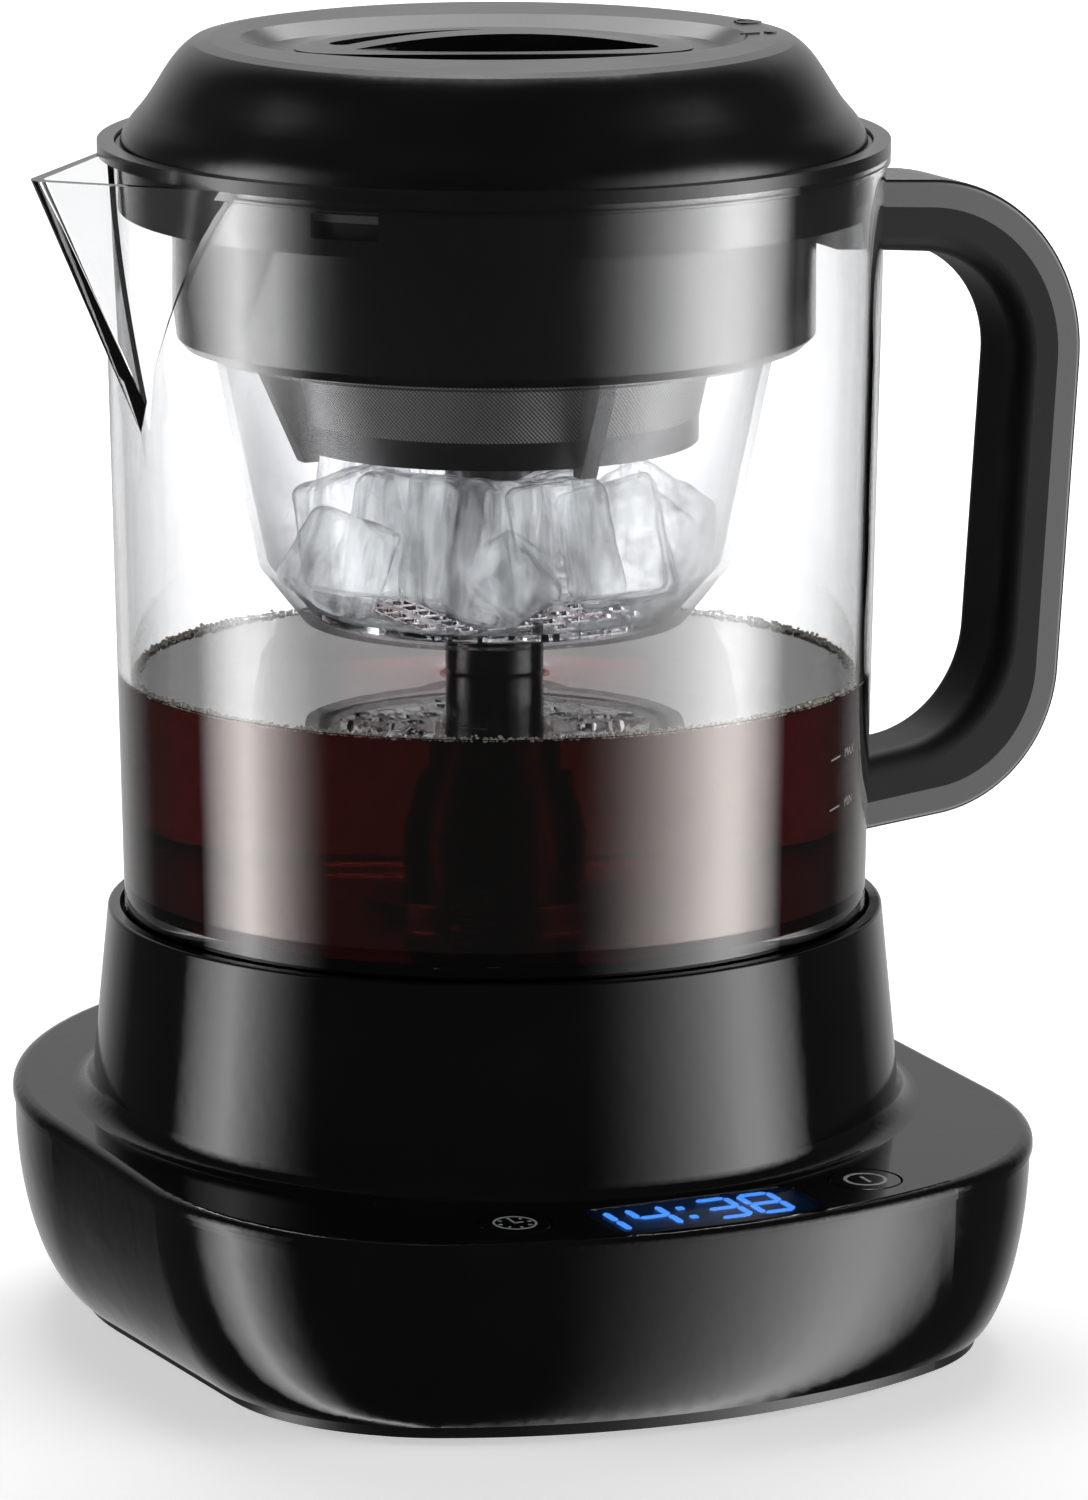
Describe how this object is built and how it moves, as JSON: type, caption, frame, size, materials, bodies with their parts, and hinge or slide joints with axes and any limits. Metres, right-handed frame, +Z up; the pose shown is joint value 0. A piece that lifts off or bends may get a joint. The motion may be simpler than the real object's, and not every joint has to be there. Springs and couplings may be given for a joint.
{
  "type": "cold brew coffee maker",
  "caption": "Cold brew maker: clear pitcher with spout and handle, lift-out brew basket, mesh filter and ice basket, domed lid, and a base with magnetic pump drive, buttons and digit display.",
  "frame": {"origin": "on the pitcher's axis, in the plane that the base stands on", "axes": "+Z up along the pitcher's axis; -Y towards the control panel; +X towards the pitcher's handle, -X towards its spout"},
  "size_m": [0.2331, 0.2155, 0.267],
  "materials": {
    "gloss_black": "high gloss black ABS",
    "satin_black": "satin black plastic",
    "black_rubber": "soft black rubber",
    "clear_plastic": "clear copolyester",
    "smoked_window": "smoked clear plastic",
    "lit_blue": "lit display segments",
    "screw_steel": "zinc-plated steel",
    "mesh_steel": "fine woven stainless mesh",
    "motor_steel": "plated steel can",
    "bearing_brass": "sintered brass",
    "magnet_grey": "ferrite",
    "board_green": "glass-epoxy board",
    "white_plastic": "natural nylon",
    "grey_silicone": "translucent grey silicone"
  },
  "bodies": {
    "base": {"base_top_cover": "gloss_black", "base_lower_housing": "gloss_black", "bottom_plate": "satin_black", "rubber_foot": "black_rubber", "plate_screws": "screw_steel", "seat_ring": "black_rubber", "cord_gland": "black_rubber", "control_board": "board_green", "board_screws": "screw_steel", "button_switches": "satin_black", "led_display": "gloss_black", "display_digits": "lit_blue", "display_window": "smoked_window", "motor_can": "motor_steel", "motor_bearing": "bearing_brass", "motor_end_cap": "satin_black", "motor_field_ring": "magnet_grey", "motor_bracket": "screw_steel", "bracket_screws": "screw_steel"},
    "timer_button": {"timer_button": "satin_black"},
    "power_button": {"power_button": "satin_black"},
    "rotor": {"motor_shaft": "screw_steel", "motor_armature": "motor_steel", "drive_rotor": "white_plastic", "drive_magnets": "magnet_grey"},
    "pitcher": {"pitcher_jug": "clear_plastic", "handle_shell": "gloss_black", "handle_grip": "satin_black", "handle_screws": "screw_steel", "impeller_pin": "screw_steel", "pump_housing": "satin_black", "riser_tube": "satin_black"},
    "impeller": {"impeller": "white_plastic", "impeller_magnet": "magnet_grey"},
    "basket": {"brew_basket": "satin_black"},
    "filter": {"filter_frame": "satin_black", "filter_mesh": "mesh_steel"},
    "ice": {"ice_basket": "clear_plastic", "ice_grid": "clear_plastic"},
    "lid_plug": {"lid_inner_plate": "satin_black", "lid_gasket": "grey_silicone", "spray_head": "satin_black"},
    "lid": {"lid_dome": "gloss_black", "lid_handle": "satin_black", "lid_pivot_screw": "screw_steel"}
  },
  "joints": [
    {"name": "motor_spin", "type": "hinge", "parent": "base", "child": "rotor", "pos_m": [0, 0, 0.08], "axis": [0, 0, 1], "continuous": true},
    {"name": "timer_press", "type": "slide", "parent": "base", "child": "timer_button", "axis": [0, 0.039, -0.9992], "range_m": [0, 0.0008], "stiffness_N_per_m": 600, "springref_m": -0.0003},
    {"name": "power_press", "type": "slide", "parent": "base", "child": "power_button", "axis": [0, 0.039, -0.9992], "range_m": [0, 0.0008], "stiffness_N_per_m": 600, "springref_m": -0.0003},
    {"name": "pitcher_lift", "type": "slide", "parent": "base", "child": "pitcher", "axis": [0, 0, 1], "range_m": [0, 0.12]},
    {"name": "impeller_spin", "type": "hinge", "parent": "pitcher", "child": "impeller", "pos_m": [0, 0, 0.095], "axis": [0, 0, 1], "continuous": true},
    {"name": "basket_lift", "type": "slide", "parent": "pitcher", "child": "basket", "axis": [0, 0, 1], "range_m": [0, 0.15]},
    {"name": "ice_basket_release", "type": "slide", "parent": "basket", "child": "ice", "axis": [0, 0, 1], "range_m": [-0.022, 0]},
    {"name": "filter_lift", "type": "slide", "parent": "basket", "child": "filter", "axis": [0, 0, 1], "range_m": [0, 0.06]},
    {"name": "lid_lift", "type": "slide", "parent": "filter", "child": "lid_plug", "axis": [0, 0, 1], "range_m": [0, 0.06]},
    {"name": "lid_turn", "type": "hinge", "parent": "lid_plug", "child": "lid", "pos_m": [0, 0, 0.25], "axis": [0, 0, 1], "range_deg": [0, 60]}
  ],
  "couplings": [
    {"joint": "impeller_spin", "follows": "motor_spin", "ratio": 1}
  ]
}
